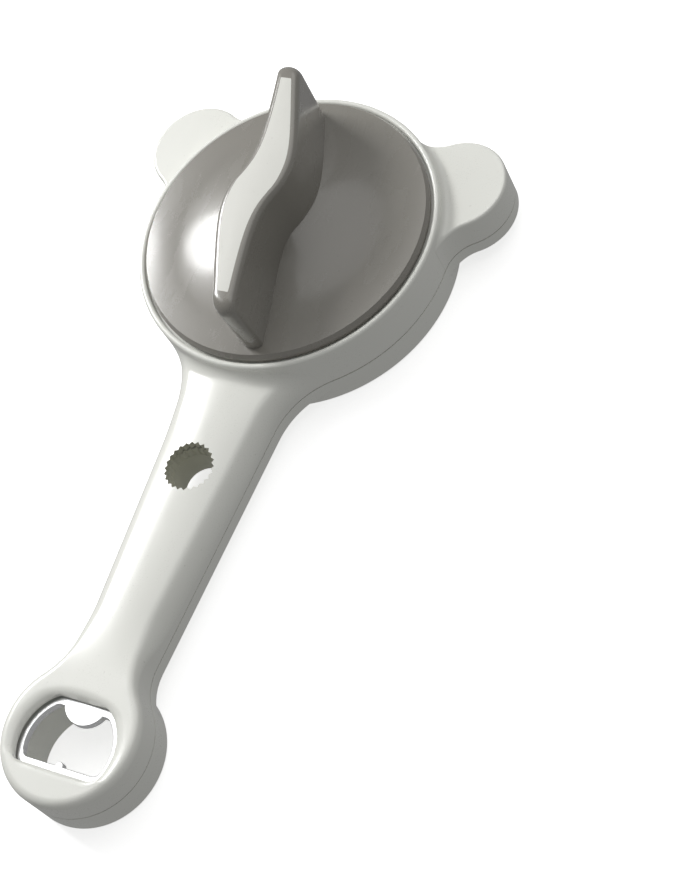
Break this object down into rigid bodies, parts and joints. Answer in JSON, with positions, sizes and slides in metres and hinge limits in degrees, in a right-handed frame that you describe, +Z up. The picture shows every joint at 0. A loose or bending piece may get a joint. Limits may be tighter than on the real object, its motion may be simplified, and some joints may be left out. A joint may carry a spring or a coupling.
{
  "type": "manual can and jar opener",
  "caption": "Hand-held opener: a twist knob drives sliding claws under a round head to grip lids; the handle has a toothed cap socket and a crown-cap opener.",
  "frame": {"origin": "centre of the bounding box at the plane that the skirt and the opener end rest on", "axes": "+Y from the opener end to the round head, +X to the right seen from above with the head away, +Z up through the knob"},
  "size_m": [0.1238, 0.237, 0.049],
  "materials": {
    "shell": "smooth moulded off-white plastic with a soft gloss",
    "knob": "satin warm grey moulded plastic",
    "nylon": "natural moulded nylon",
    "socket": "satin olive grey moulded plastic",
    "plated_steel": "zinc plated pressed steel",
    "fastener": "plated machined steel",
    "claw_steel": "tumbled stainless steel",
    "bright_steel": "polished stainless steel",
    "grip_rubber": "moulded rubber with upright ribs"
  },
  "bodies": {
    "housing": {"top_shell": "shell", "bottom_shell": "shell", "centre_bush": "nylon", "slip_ring": "nylon", "guide_plate": "plated_steel", "guide_screws": "fastener", "centre_cap": "shell", "cap_socket": "socket", "opener_plate": "bright_steel", "housing_screws": "fastener"},
    "knob": {"twist_knob": "knob", "knob_hub": "nylon", "scroll_plate": "plated_steel", "retaining_washer": "plated_steel", "retaining_screw": "fastener"},
    "handle_jaw": {"handle_slider": "nylon", "handle_jaw_pin": "fastener", "handle_claw": "claw_steel", "handle_claw_pad": "grip_rubber", "handle_claw_screw": "fastener"},
    "right_jaw": {"right_slider": "nylon", "right_jaw_pin": "fastener", "right_claw": "claw_steel", "right_claw_pad": "grip_rubber", "right_claw_screw": "fastener"},
    "left_jaw": {"left_slider": "nylon", "left_jaw_pin": "fastener", "left_claw": "claw_steel", "left_claw_pad": "grip_rubber", "left_claw_screw": "fastener"}
  },
  "joints": [
    {"name": "knob_turn", "type": "hinge", "parent": "housing", "child": "knob", "pos_m": [0, 0.0695, 0.02], "axis": [0, 0, 1], "range_deg": [0, 300]},
    {"name": "handle_jaw_slide", "type": "slide", "parent": "housing", "child": "handle_jaw", "axis": [0, -1, 0], "range_m": [0, 0.027]},
    {"name": "right_jaw_slide", "type": "slide", "parent": "housing", "child": "right_jaw", "axis": [0.866, 0.5, 0], "range_m": [0, 0.027]},
    {"name": "left_jaw_slide", "type": "slide", "parent": "housing", "child": "left_jaw", "axis": [-0.866, 0.5, 0], "range_m": [0, 0.027]}
  ],
  "couplings": [
    {"joint": "handle_jaw_slide", "follows": "knob_turn", "m_per_rad": 0.0051566},
    {"joint": "right_jaw_slide", "follows": "knob_turn", "m_per_rad": 0.0051566},
    {"joint": "left_jaw_slide", "follows": "knob_turn", "m_per_rad": 0.0051566}
  ]
}
